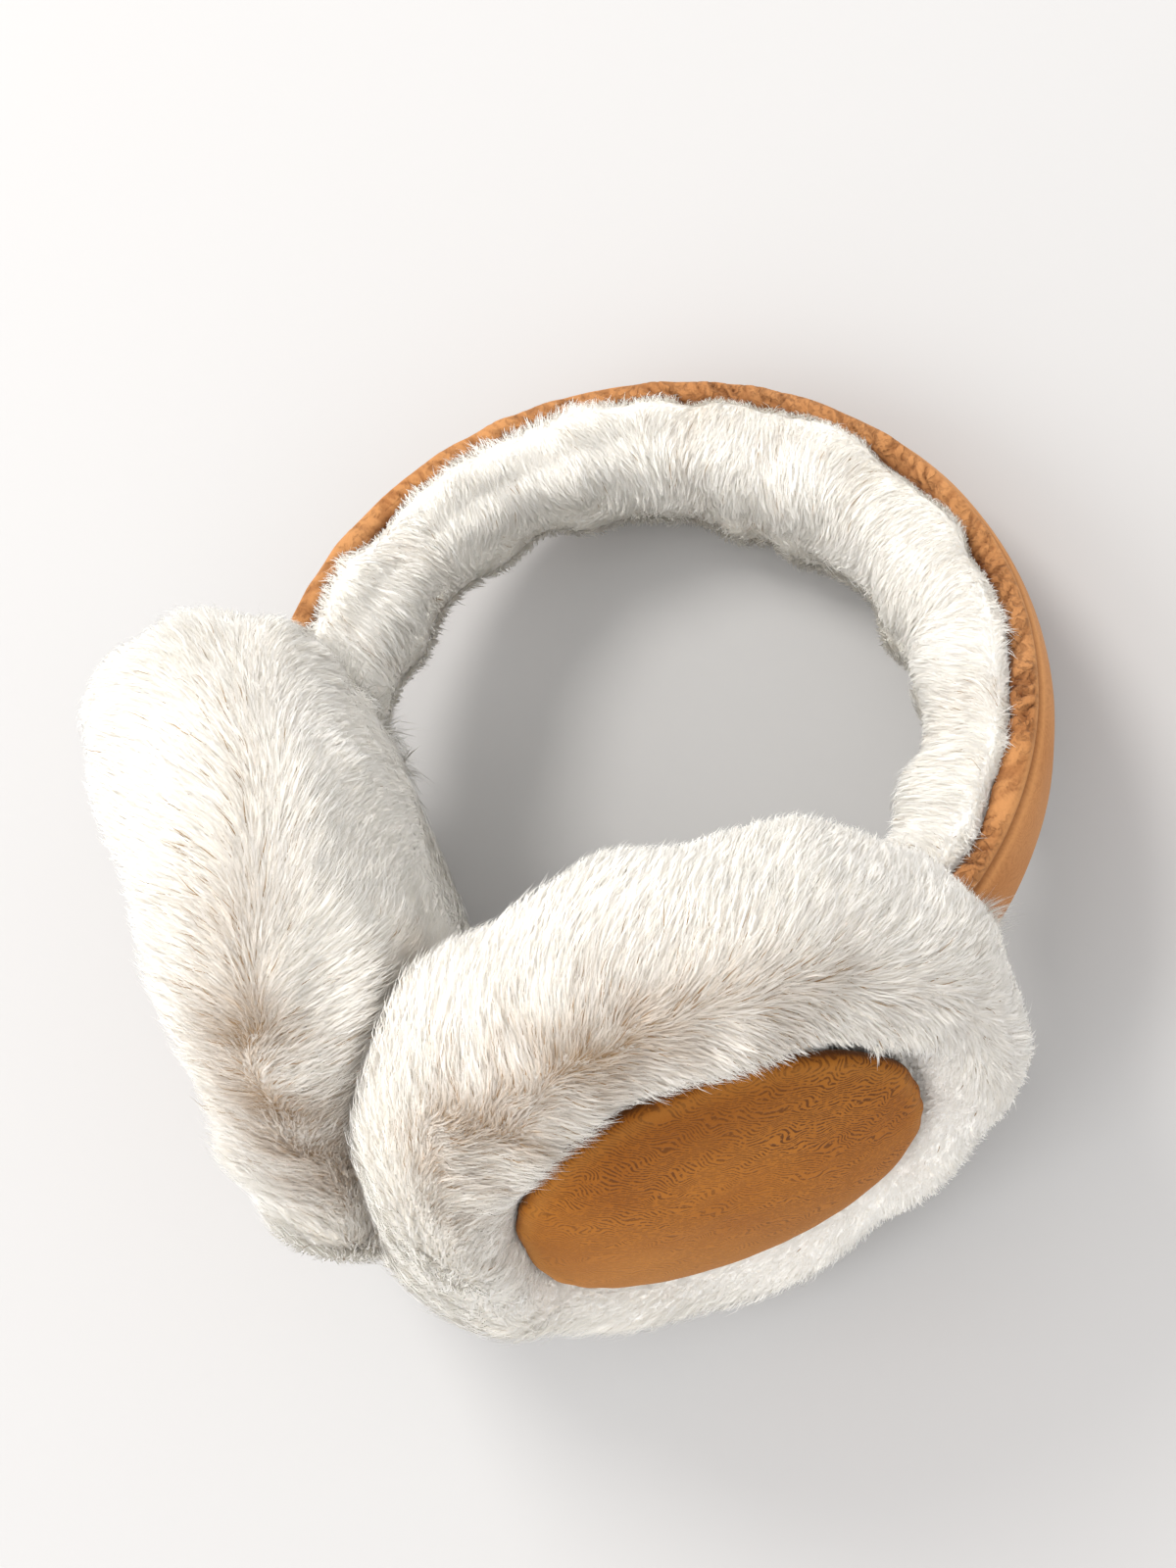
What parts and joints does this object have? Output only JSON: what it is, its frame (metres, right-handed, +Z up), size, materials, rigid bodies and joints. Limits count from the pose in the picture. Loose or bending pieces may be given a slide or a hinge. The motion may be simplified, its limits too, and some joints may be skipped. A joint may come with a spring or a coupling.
{
  "type": "fur earmuffs",
  "caption": "Fur earmuffs on their side: an arched suede headband lined with plush fur joins thick round fur ear cups that press together, each with a domed suede patch outside.",
  "frame": {"origin": "on the floor, under the middle of the bounding box of the whole, with the earmuffs lying on their side", "axes": "+X across the arch, towards the cup named right; +Y towards the top of the arch; +Z up from the floor, which is one broad side of the arch tipped back by about 22 degrees"},
  "size_m": [0.1944, 0.1966, 0.1371],
  "materials": {
    "suede": "matte nap",
    "fur": "soft dense pile"
  },
  "bodies": {
    "root": {"headband_cover": "suede", "headband_lining": "fur", "ear_fur_right": "fur", "ear_fur_left": "fur", "ear_patch_right": "suede", "ear_patch_left": "suede"}
  },
  "joints": []
}
